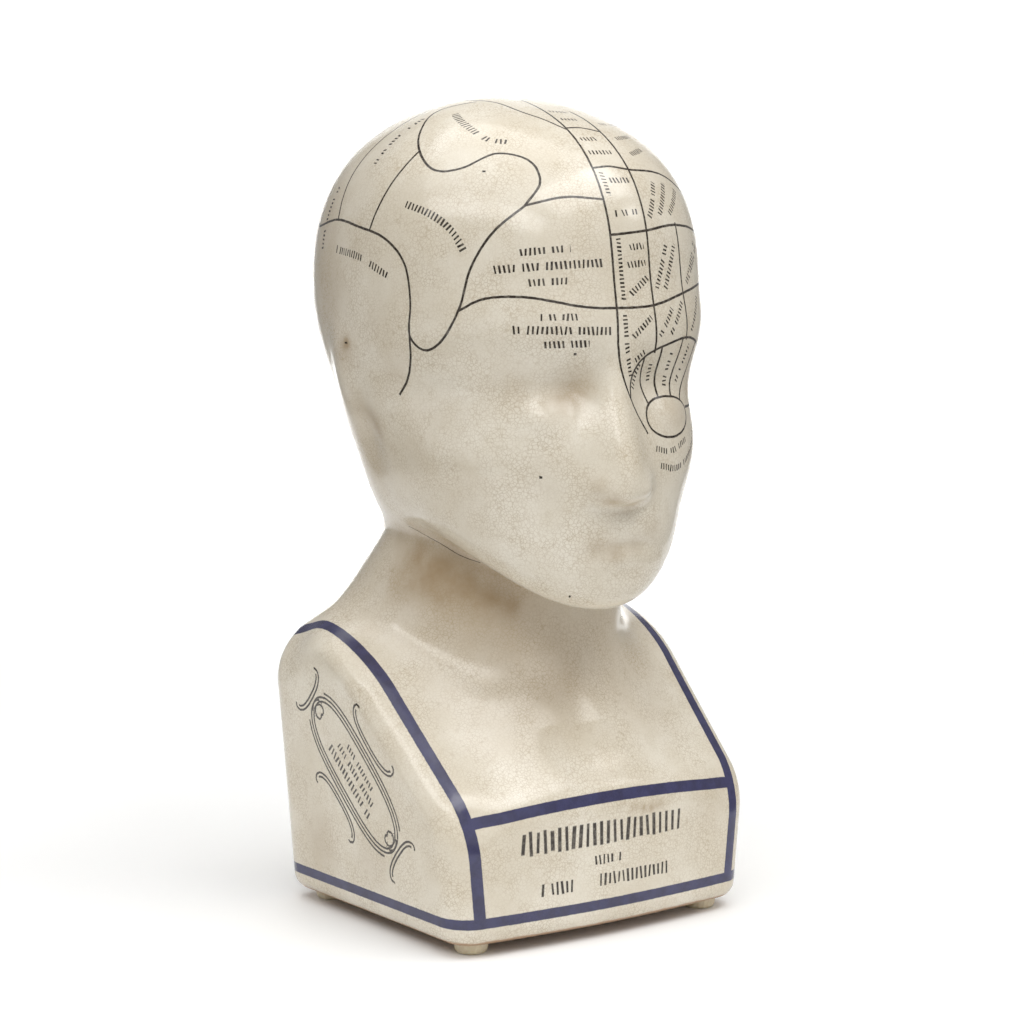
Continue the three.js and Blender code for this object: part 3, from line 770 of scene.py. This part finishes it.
def ink_lines():
    """All brown-black lines as paths on the skin, with their half-widths."""
    lines = [(head_line(points), SKULL_LINE) for points in SKULL_LINES]
    across, up, wide, high = EYE_RING
    angle = np.linspace(0, 2 * np.pi, 73)
    ring = np.stack([across + wide * np.cos(angle), up + high * np.sin(angle)], -1)
    lines.append((on_head(ring), RING_LINE))
    # two long scrolls facing each other in three parallel lines, a small scroll across each end
    # and two along each side, all facing outwards, in two parallel lines
    parts = []
    for offset, share in ((0, 1), (1.6, 0.86), (3.2, 0.66)):
        parts.append(wound(44, 7.4, offset, share) + [0, 10.2])
    for offset, share in ((0, 1), (1.5, 0.8)):
        parts.append(wound(15, 3.6, -offset, share)[:, ::-1] * [-1, 1] + [33.6, 0])
        parts.append(wound(21, 4.6, -offset, share) * [1, -1] + [0, 15.4])
    for local in parts:
        for mirror in ((1, 1), (1, -1), (-1, 1), (-1, -1)):
            for sign in (-1, 1):
                lines.append((on_scroll(local * mirror, sign), SCROLL_LINE))
    lines.append((on_head(flow(SEAM)), MOULD_LINE))
    # specks are lines too short to see as such
    for place, radius in SPECKS:
        lines.append((on_head([place, (place[0], place[1] - 0.3)]), radius))
    return lines


def blue_bands(half_width):
    """The cobalt bands: round the bottom, over each side, and along the top of the front panel."""
    reach = BAND_INSET + SIDE_LEAN * PANEL_TOP
    x = np.linspace(-reach, reach, 160)
    top = on_panel(x, PANEL_TOP - 0.2 + PANEL_ARCH * (1 - (x / reach) ** 2))
    paths = (band_round(BOTTOM_BAND), band_over(-1), band_over(1), top)
    return [(path, half_width * share) for path, share in zip(paths, BAND_SHARES)]


def stroke_rows():
    """Paths of all rows of strokes, with their stroke heights."""
    rows = [(head_line(points), height) for height, points in SKULL_ROWS]
    for height, begin, end, middle in PANEL_ROWS:
        x = np.linspace(begin, end, max(4, int((end - begin) / 2)))
        rows.append((on_panel(x, np.full_like(x, middle)), height))
    for sign in (-1, 1):
        for height, begin, end, across in SCROLL_ROWS:
            along = np.linspace(begin, end, 20)
            rows.append((on_scroll(np.stack([along, np.full_like(along, across)], -1), sign), height))
    return rows


def stains_and_shade(points):
    """Brown staining and painted shade, 0 to 1.2: bells round the given places, added up."""
    total = np.zeros(len(points))
    on_skull = [(*on_head([(across, up)])[0], *rest) for across, up, *rest in HEAD_STAINS_AND_SHADE]
    for x, y, z, spread, strength in (*on_skull, *BASE_STAINS_AND_SHADE):
        gap = np.linalg.norm(points - [x, y, z], axis=1)
        total += strength * bell(gap / spread)
    return np.clip(total, 0, 1.2)


def hollows(points):
    """How far into a hollow each point lies, for the painted shade and dirt there: what the field lacks of
    7 mm when 7 mm out.
    """
    out = bust_field(points + normals_at(points) * 7.0)
    return np.clip(1 - out / 7.0, 0, 1)


# Materials

MATH = "ShaderNodeMath"
VECTOR = "ShaderNodeVectorMath"
RANGE = "ShaderNodeMapRange"
SMOOTH = "SMOOTHSTEP"


def add(tree, kind, inputs=None, **settings):
    """Adds a node, sets its properties, and gives its inputs a value or a link each.

    A link comes from the output that is given, or from the first output of a node that is given.
    """
    node = tree.nodes.new(kind)
    for name, value in settings.items():
        setattr(node, name, value)
    for name, value in (inputs or {}).items():
        if isinstance(value, bpy.types.Node):
            value = value.outputs[0]
        if isinstance(value, bpy.types.NodeSocket):
            tree.links.new(value, node.inputs[name])
        else:
            node.inputs[name].default_value = value
    return node


def empty_material(name):
    """A material with only its principled shader and output."""
    material = bpy.data.materials.new(name)
    material.use_nodes = True
    tree = material.node_tree
    tree.nodes.clear()
    shader = add(tree, "ShaderNodeBsdfPrincipled")
    add(tree, "ShaderNodeOutputMaterial", {"Surface": shader})
    return material, tree, shader


def painted(tree, names, tremble, soft):
    """How much of the surface lines cover: 1 within a line's half-width and length, 0 outside them.

    names are the layers that paint left on the mesh. tremble shifts the lines sideways, and soft is
    half the width of their soft edge, both in millimetres.
    """
    total = 0.0
    for name in names:
        layer = add(tree, "ShaderNodeAttribute", attribute_name=name).outputs["Vector"]
        distance, half_width, beyond = add(tree, "ShaderNodeSeparateXYZ", {0: layer}).outputs
        moved = add(tree, MATH, {0: distance, 1: tremble}, operation="ADD")
        off = add(tree, MATH, {0: moved}, operation="ABSOLUTE")
        off = add(tree, MATH, {0: off, 1: half_width}, operation="SUBTRACT")
        within = add(tree, RANGE, {"Value": off, "From Min": -soft, "From Max": soft,
                                   "To Min": 1.0, "To Max": 0.0}, interpolation_type=SMOOTH)
        before_end = add(tree, RANGE, {"Value": beyond, "From Min": -0.06, "From Max": 0.06,
                                       "To Min": 1.0, "To Max": 0.0}, interpolation_type=SMOOTH)
        line = add(tree, MATH, {0: within, 1: before_end}, operation="MULTIPLY")
        total = add(tree, MATH, {0: line, 1: total}, operation="MAXIMUM")
    return total


def painted_strokes(tree):
    """How much of the surface the rows of strokes cover, one stroke to each whole number along.

    Each stroke has its own lean, thickness and height, by chance, and one in ten is left out.
    """
    layer = add(tree, "ShaderNodeAttribute", attribute_name="strokes").outputs["Vector"]
    along, up, beyond = add(tree, "ShaderNodeSeparateXYZ", {0: layer}).outputs
    number = add(tree, MATH, {0: along}, operation="FLOOR")
    dice = add(tree, "ShaderNodeTexWhiteNoise", {"W": number}, noise_dimensions="1D")
    first, second, third = add(tree, "ShaderNodeSeparateColor", {0: dice.outputs["Color"]}).outputs
    across = add(tree, MATH, {0: along}, operation="FRACT")
    across = add(tree, MATH, {0: across, 1: 0.5}, operation="SUBTRACT")
    lean = add(tree, MATH, {0: first, 1: 0.5}, operation="SUBTRACT")
    lean = add(tree, MATH, {0: lean, 1: 0.34}, operation="MULTIPLY")
    slant = add(tree, MATH, {0: lean, 1: up}, operation="MULTIPLY")
    aside = add(tree, MATH, {0: across, 1: slant}, operation="SUBTRACT")
    aside = add(tree, MATH, {0: aside}, operation="ABSOLUTE")
    thick = add(tree, MATH, {0: second, 1: 0.09, 2: 0.18}, operation="MULTIPLY_ADD")
    aside = add(tree, MATH, {0: aside, 1: thick}, operation="SUBTRACT")
    tall = add(tree, MATH, {0: third, 1: 0.22, 2: 0.8}, operation="MULTIPLY_ADD")
    above = add(tree, MATH, {0: up}, operation="ABSOLUTE")
    above = add(tree, MATH, {0: above, 1: tall}, operation="SUBTRACT")
    kept = add(tree, MATH, {0: dice.outputs["Value"], 1: 0.1}, operation="GREATER_THAN")
    inside = add(tree, MATH, {0: beyond, 1: 0.0}, operation="LESS_THAN")
    stroke = add(tree, MATH, {0: kept, 1: inside}, operation="MULTIPLY")
    for edge, low in ((aside, -0.05), (above, -0.06)):
        within = add(tree, RANGE, {"Value": edge, "From Min": low, "From Max": 0.06,
                                   "To Min": 1.0, "To Max": 0.0}, interpolation_type=SMOOTH)
        stroke = add(tree, MATH, {0: stroke, 1: within}, operation="MULTIPLY")
    return stroke


def crackle_glaze(look):
    """Cream lead glaze over slip-cast earthenware, crackled, aged with brown staining and painted shade,
    painted under it.

    To the eye: glossy and a little uneven, cream with warmer clouds, a net of fine tea-coloured cracks,
    brown staining and painted brown shade in the hollows and under the jaw and nose, with brown-black lines
    and strokes and cobalt bands in it.
    """
    material, tree, shader = empty_material("crackle_glazed_earthenware")
    place = add(tree, "ShaderNodeTexCoord").outputs["Object"]
    mm = add(tree, VECTOR, {0: place, "Scale": 1 / MM}, operation="SCALE")
    cloud = {}
    for name, (size, detail, rough, shift, ends) in CLOUDS.items():
        where = add(tree, VECTOR, {0: mm, 1: (shift, shift * 0.7, -shift)}, operation="ADD")
        cloud[name] = add(tree, "ShaderNodeTexNoise", {"Vector": where, "Scale": 1 / size,
                                                       "Detail": detail, "Roughness": rough})
        if ends:
            names = ("From Min", "From Max", "To Min", "To Max")
            cloud[name] = add(tree, RANGE, {"Value": cloud[name], **dict(zip(names, ends))},
                              interpolation_type=SMOOTH)

    # painted warm shade and dirt in the hollows, and brown staining and painted shade broken up by clouds
    hollow = add(tree, "ShaderNodeAttribute", attribute_name="hollow").outputs["Fac"]
    deep = add(tree, RANGE, {"Value": hollow, "From Min": 0.04, "From Max": 0.75,
                             "To Min": 0.0, "To Max": 0.46}, interpolation_type=SMOOTH)
    stain_and_shade = add(tree, "ShaderNodeAttribute", attribute_name="stain_and_shade").outputs["Fac"]
    stain_and_shade_amount = add(tree, MATH, {0: stain_and_shade, 1: cloud["patchy"]}, operation="MULTIPLY")
    faint = add(tree, MATH, {0: cloud["small"], 1: 0.3}, operation="MULTIPLY")

    # cracks: edges of cells whose places wander by up to 0.4 mm
    wander = add(tree, VECTOR, {0: cloud["wander"].outputs["Color"], 1: (0.5, 0.5, 0.5)},
                 operation="SUBTRACT")
    bent = add(tree, VECTOR, {0: wander, 1: (0.9, 0.9, 0.9), 2: mm}, operation="MULTIPLY_ADD")
    cracks = 0.0
    for share, low, high, strength in CRACK_NETS:
        edge = add(tree, "ShaderNodeTexVoronoi", {"Vector": bent, "Scale": share * MM / look.crack_spacing},
                   feature="DISTANCE_TO_EDGE").outputs["Distance"]
        net = add(tree, RANGE, {"Value": edge, "From Min": low, "From Max": high,
                                "To Min": strength, "To Max": 0.0}, interpolation_type=SMOOTH)
        cracks = add(tree, MATH, {0: net, 1: cracks}, operation="MAXIMUM")
    cracks = add(tree, MATH, {0: cracks, 1: cloud["faded"]}, operation="MULTIPLY")

    # paint: lines shaken sideways by less than a tenth of a millimetre, thin in places
    tremble = add(tree, MATH, {0: cloud["tremble"], 1: 0.28, 2: -0.14}, operation="MULTIPLY_ADD")
    lines = painted(tree, ("line_1", "line_2", "line_3"), tremble, 0.09)
    ink = add(tree, MATH, {0: lines, 1: painted_strokes(tree)}, operation="MAXIMUM")
    ink = add(tree, MATH, {0: ink, 1: cloud["density"]}, operation="MULTIPLY")
    bands = painted(tree, ("band_1", "band_2", "band_3"), tremble, 0.16)
    bands = add(tree, MATH, {0: bands, 1: 0.96}, operation="MULTIPLY")
    cobalt = add(tree, "ShaderNodeMix", {0: cloud["streaky"], 6: (*look.band_colour, 1.0),
                                         7: (*linear("#25264c"), 1.0)}, data_type="RGBA").outputs[2]

    # specks of iron up to 0.5 mm in radius, at points 22 mm apart in the clay, of which few show
    speck = add(tree, "ShaderNodeTexVoronoi", {"Vector": mm, "Scale": 1 / 22.0}, feature="F1")
    chance = add(tree, "ShaderNodeSeparateColor", {0: speck.outputs["Color"]})
    size = add(tree, MATH, {0: chance, 1: 0.03, 2: -0.008}, operation="MULTIPLY_ADD")
    off = add(tree, MATH, {0: speck.outputs["Distance"], 1: size}, operation="SUBTRACT")
    specks = add(tree, RANGE, {"Value": off, "From Min": -0.004, "From Max": 0.004,
                               "To Min": 0.75, "To Max": 0.0}, interpolation_type=SMOOTH)

    # bare clay along the lower edge, up to about 6 mm
    height = add(tree, "ShaderNodeSeparateXYZ", {0: mm}).outputs[2]
    uneven = add(tree, MATH, {0: cloud["uneven"], 1: 1.6, 2: -0.8}, operation="MULTIPLY_ADD")
    height = add(tree, MATH, {0: height, 1: uneven}, operation="ADD")
    bare = add(tree, RANGE, {"Value": height, "From Min": 5.3, "From Max": 6.2,
                             "To Min": 1.0, "To Max": 0.0}, interpolation_type=SMOOTH)
    clay = add(tree, MATH, {0: bare, 1: 0.8}, operation="MULTIPLY")

    # colours laid one over the other: how much of each, and which
    body = (*look.glaze_colour, 1.0)
    coats = ((cloud["warm"], (*linear("#d4cbb9"), 1.0)), (faint, (*linear("#cbbfa8"), 1.0)),
             (deep, (*linear("#b89f80"), 1.0)), (stain_and_shade_amount, (*linear("#977e5b"), 1.0)),
             (cracks, (*linear("#a08a68"), 1.0)), (ink, (*look.ink_colour, 1.0)), (bands, cobalt),
             (specks, (*linear("#4f3a28"), 1.0)), (clay, (*linear("#9a7450"), 1.0)))
    for amount, tint in coats:
        body = add(tree, "ShaderNodeMix", {0: amount, 6: body, 7: tint}, data_type="RGBA").outputs[2]
    tree.links.new(body, shader.inputs["Base Color"])

    # gloss: duller in the small clouds, on the brown staining and painted shade, and most of all on bare
    # clay
    rough = add(tree, MATH, {0: cloud["small"], 1: 0.06, 2: 0.12}, operation="MULTIPLY_ADD")
    rough = add(tree, MATH, {0: bare, 1: 0.45, 2: rough}, operation="MULTIPLY_ADD")
    rough = add(tree, MATH, {0: stain_and_shade, 1: 0.08, 2: rough}, operation="MULTIPLY_ADD")
    tree.links.new(rough.outputs[0], shader.inputs["Roughness"])
    shader.inputs["IOR"].default_value = 1.5

    # relief in millimetres: waves of the poured cast over 30 mm, of the glaze over 5 mm, and cracks
    relief = add(tree, MATH, {0: cloud["pour"], 1: 0.55}, operation="MULTIPLY")
    relief = add(tree, MATH, {0: cloud["skin"], 1: 0.03, 2: relief}, operation="MULTIPLY_ADD")
    relief = add(tree, MATH, {0: cracks, 1: -0.012, 2: relief}, operation="MULTIPLY_ADD")
    bump = add(tree, "ShaderNodeBump", {"Height": relief, "Distance": MM, "Strength": 1.0})
    tree.links.new(bump.outputs[0], shader.inputs["Normal"])
    return material


def pad_vinyl(look):
    """Soft clear vinyl bumper, moulded and yellowed with age.

    To the eye: satin cream, slightly see-into at its rim, mottled with dust over about a millimetre.
    """
    material, tree, shader = empty_material("yellowed_vinyl_bumper")
    place = add(tree, "ShaderNodeTexCoord").outputs["Object"]
    dust = add(tree, "ShaderNodeTexNoise", {"Vector": place, "Scale": 0.9 / MM, "Detail": 3.0})
    tint = add(tree, "ShaderNodeMix", {0: dust, 6: (*look.pad_colour, 1.0), 7: (*linear("#c9ba98"), 1.0)},
               data_type="RGBA")
    tree.links.new(tint.outputs[2], shader.inputs["Base Color"])
    shader.inputs["Roughness"].default_value = 0.42
    shader.inputs["IOR"].default_value = 1.53
    shader.inputs["Subsurface Weight"].default_value = 0.3
    shader.inputs["Subsurface Radius"].default_value = (1.0, 0.7, 0.4)
    shader.inputs["Subsurface Scale"].default_value = 2 * MM
    bump = add(tree, "ShaderNodeBump", {"Height": dust, "Distance": 0.1 * MM, "Strength": 0.5})
    tree.links.new(bump.outputs[0], shader.inputs["Normal"])
    return material


def floor_paper(look):
    """Heavy white studio paper: matt, with a shade that wanders faintly over about 30 cm."""
    material, tree, shader = empty_material("white_studio_paper")
    place = add(tree, "ShaderNodeTexCoord").outputs["Object"]
    shade = add(tree, "ShaderNodeTexNoise", {"Vector": place, "Scale": 3.0, "Detail": 2.0})
    tint = add(tree, "ShaderNodeMix", {0: shade, 6: (*look.floor_colour, 1.0),
                                       7: (*linear("#fbfbfa"), 1.0)}, data_type="RGBA")
    tree.links.new(tint.outputs[2], shader.inputs["Base Color"])
    shader.inputs["Roughness"].default_value = 0.85
    return material


# Stage

def base_middle():
    """x and y of the middle of the pads' boxes, which is where the bust's form has its origin."""
    corners = np.array([[list(low), list(high)] for low, high in (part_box(pad) for pad in PADS)])
    return corners.mean(axis=(0, 1))[:2]


def studio_floor(look):
    """Sheet of paper that rises into a backdrop: flat, then a quarter circle, then upright.

    Its outline in side view is carried across it, and it widens backwards from the bust.
    """
    flat = np.stack([np.array([FLOOR_START, 0.0, 0.4, 0.8, FLOOR_END]), np.zeros(5)], -1)
    angle = np.linspace(0, np.pi / 2, 24)[1:]
    sweep = np.stack([FLOOR_END + SWEEP_RADIUS * np.sin(angle), SWEEP_RADIUS * (1 - np.cos(angle))], -1)
    profile = np.concatenate([flat, sweep, [(FLOOR_END + SWEEP_RADIUS, WALL_TOP)]])
    half_width = FLOOR_HALF_WIDTH + FLOOR_WIDENING * np.maximum(profile[:, 0], 0)
    across = np.linspace(-1, 1, 7)[:, None] * half_width
    x = across * math.cos(VIEW_AZIMUTH) - profile[:, 0] * math.sin(VIEW_AZIMUTH)
    y = across * math.sin(VIEW_AZIMUTH) + profile[:, 0] * math.cos(VIEW_AZIMUTH)
    z = np.broadcast_to(profile[:, 1], x.shape)
    points = np.stack([x, y, z], -1).reshape(-1, 3)
    n = len(profile)
    i, j = np.meshgrid(np.arange(len(across) - 1), np.arange(n - 1), indexing="ij")
    faces = np.stack([i * n + j, (i + 1) * n + j, (i + 1) * n + j + 1, i * n + j + 1], -1)
    mesh = bpy.data.meshes.new("floor")
    mesh.from_pydata(points, [], faces.reshape(-1, 4).tolist())
    mesh.shade_smooth()
    mesh.materials.append(floor_paper(look))
    return bpy.data.objects.new("floor", mesh)


def direction(azimuth, elevation):
    """Unit vector towards that azimuth and elevation, azimuth 0 being the front, -Y, as in ray."""
    flat = math.cos(elevation)
    return Vector((math.sin(azimuth) * flat, -math.cos(azimuth) * flat, math.sin(elevation)))


def studio_camera(look, target):
    """Camera at the photograph's angle that looks at the target."""
    data = bpy.data.cameras.new("camera")
    data.lens = look.lens / MM
    data.sensor_width = 36.0
    data.shift_x, data.shift_y = FRAME_SHIFT
    camera = bpy.data.objects.new("camera", data)
    back = direction(VIEW_AZIMUTH, VIEW_ELEVATION)
    camera.location = target + back * look.distance
    camera.rotation_euler = back.to_track_quat("Z", "Y").to_euler()
    return camera


def studio_lamps(target):
    """Soft boxes round the target; the two for the backdrop are narrowed and turned towards it."""
    backdrop = Vector((-math.sin(VIEW_AZIMUTH), math.cos(VIEW_AZIMUTH), 0.1)) * 1.7
    lamps = []
    for name, (azimuth, elevation, distance, width, height, watts) in LAMPS.items():
        light = bpy.data.lights.new(name, "AREA")
        light.shape = "RECTANGLE"
        light.size, light.size_y = width, height
        light.energy = watts
        out = direction(math.radians(azimuth), math.radians(elevation))
        lamp = bpy.data.objects.new(name, light)
        lamp.location = target + out * distance
        if name.startswith("backdrop"):
            light.spread = math.radians(75)
            out = lamp.location - backdrop
        lamp.rotation_euler = out.to_track_quat("Z", "Y").to_euler()
        lamps.append(lamp)
    return lamps


# Settings

class BustSettings(PropertyGroup):
    columns: IntProperty(name="Columns", description="Points round the bust", default=296, min=48, max=300)
    band_width: FloatProperty(name="Band width", description="Width of the blue bands",
                              default=3.9 * MM, unit="LENGTH")
    crack_spacing: FloatProperty(name="Crack spacing", description="Size of the cells between cracks",
                                 default=1.3 * MM, unit="LENGTH")
    glaze_colour: FloatVectorProperty(name="Glaze", description="Lightest colour of the glaze",
                                      default=linear("#e0d9ca"), subtype="COLOR", size=3)
    ink_colour: FloatVectorProperty(name="Lines", description="Colour of the painted lines",
                                    default=linear("#231a14"), subtype="COLOR", size=3)
    band_colour: FloatVectorProperty(name="Bands", description="Colour of the painted bands",
                                     default=linear("#30325c"), subtype="COLOR", size=3)


class PadSettings(PropertyGroup):
    pad_colour: FloatVectorProperty(name="Pads", description="Colour of the pads",
                                    default=linear("#e2d8c0"), subtype="COLOR", size=3)


class StageSettings(PropertyGroup):
    floor_colour: FloatVectorProperty(name="Floor", description="Colour of the floor",
                                      default=linear("#f6f6f5"), subtype="COLOR", size=3)
    lens: FloatProperty(name="Lens", description="Focal length of the camera",
                        default=91.41 * MM, unit="LENGTH")
    distance: FloatProperty(name="Distance", description="Camera to the middle of the bust",
                            default=0.9449, unit="LENGTH")


# Operators

class HEAD_OT_bust(Operator):
    """Build the glazed bust"""
    bl_idname = "head.build_bust"
    bl_label = "Glazed bust"

    def execute(self, context):
        look = context.scene.head_bust
        points, quads, fans = skin(look.columns)
        if np.abs(bust_field(points)).max() > 0.5:
            raise RuntimeError("Some of the skin's points lie off the bust's form")
        origin = [*base_middle(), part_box("bust")[0][2]]
        mesh = bpy.data.meshes.new("bust_glazed")
        mesh.from_pydata(points * MM + origin, [], [*quads.tolist(), *fans.tolist()])
        lines = paint(points, quads, ink_lines(), 3)
        bands = paint(points, quads, blue_bands(look.band_width / MM / 2), 3, 5.0)
        layers = {f"line_{number + 1}": layer for number, layer in enumerate(lines)}
        layers.update({f"band_{number + 1}": layer for number, layer in enumerate(bands)})
        layers["strokes"] = paint_rows(points, quads, stroke_rows())
        for name, layer in layers.items():
            spare = np.full((len(fans) * 3, 3), NO_LINE)
            values = np.concatenate([layer.reshape(-1, 3), spare]).astype(np.float32)
            mesh.attributes.new(name, "FLOAT_VECTOR", "CORNER").data.foreach_set("vector", values.ravel())
        # the first layer holds brown staining and painted shade, the second painted shade and dirt in the
        # hollows
        for name, layer in {"stain_and_shade": stains_and_shade(points), "hollow": hollows(points)}.items():
            values = layer.astype(np.float32)
            mesh.attributes.new(name, "FLOAT", "POINT").data.foreach_set("value", values)
        mesh.shade_smooth()
        piece = bpy.data.objects.new("bust_glazed", mesh)
        context.scene.collection.objects.link(piece)
        mesh.materials.append(crackle_glaze(look))
        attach(piece, "root")
        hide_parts("bust")
        return {"FINISHED"}


class HEAD_OT_pads(Operator):
    """Give the four pads their finish"""
    bl_idname = "head.finish_pads"
    bl_label = "Pads"

    def execute(self, context):
        missing = [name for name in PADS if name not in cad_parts]
        if missing:
            raise RuntimeError(f"The frame has no {', '.join(missing)}")
        material = pad_vinyl(context.scene.head_pads)
        for name in PADS:
            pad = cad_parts[name]
            pad.data.materials.clear()
            pad.data.materials.append(material)
        return {"FINISHED"}


class HEAD_OT_stage(Operator):
    """Set up the floor, the lights and the camera"""
    bl_idname = "head.build_stage"
    bl_label = "Stage"

    def execute(self, context):
        look = context.scene.head_stage
        scene = context.scene
        floor = studio_floor(look)
        scene.collection.objects.link(floor)
        scene.world = bpy.data.worlds.new("studio")
        scene.world.use_nodes = True
        background = scene.world.node_tree.nodes["Background"]
        background.inputs["Color"].default_value = (1.0, 1.0, 1.0, 1.0)
        background.inputs["Strength"].default_value = WORLD_LIGHT
        target = Vector((*base_middle(), VIEW_HEIGHT))
        camera = studio_camera(look, target)
        for piece in (camera, *studio_lamps(target)):
            scene.collection.objects.link(piece)
        scene.camera = camera
        if scene.camera is None:
            raise RuntimeError("The scene did not take the camera")
        scene.view_settings.view_transform = "Standard"
        return {"FINISHED"}


class HEAD_PT_panel(Panel):
    """Sizes, colours and building steps of the head"""
    bl_idname = "HEAD_PT_panel"
    bl_label = "Phrenology head"
    bl_space_type = "VIEW_3D"
    bl_region_type = "UI"
    bl_category = "Head"

    def draw(self, context):
        groups = ((context.scene.head_bust, HEAD_OT_bust), (context.scene.head_pads, HEAD_OT_pads),
                  (context.scene.head_stage, HEAD_OT_stage))
        for group, operator in groups:
            column = self.layout.column()
            for name in group.__annotations__:
                column.prop(group, name)
            column.operator(operator.bl_idname)


CLASSES = (BustSettings, PadSettings, StageSettings,
           HEAD_OT_bust, HEAD_OT_pads, HEAD_OT_stage, HEAD_PT_panel)


def register():
    for item in CLASSES:
        bpy.utils.register_class(item)
    bpy.types.Scene.head_bust = PointerProperty(type=BustSettings)
    bpy.types.Scene.head_pads = PointerProperty(type=PadSettings)
    bpy.types.Scene.head_stage = PointerProperty(type=StageSettings)


def unregister():
    del bpy.types.Scene.head_stage
    del bpy.types.Scene.head_pads
    del bpy.types.Scene.head_bust
    for item in reversed(CLASSES):
        bpy.utils.unregister_class(item)


def main():
    register()
    bpy.ops.head.build_bust()
    bpy.ops.head.finish_pads()
    bpy.ops.head.build_stage()
    bpy.context.view_layer.update()


if __name__ == "__main__":
    main()
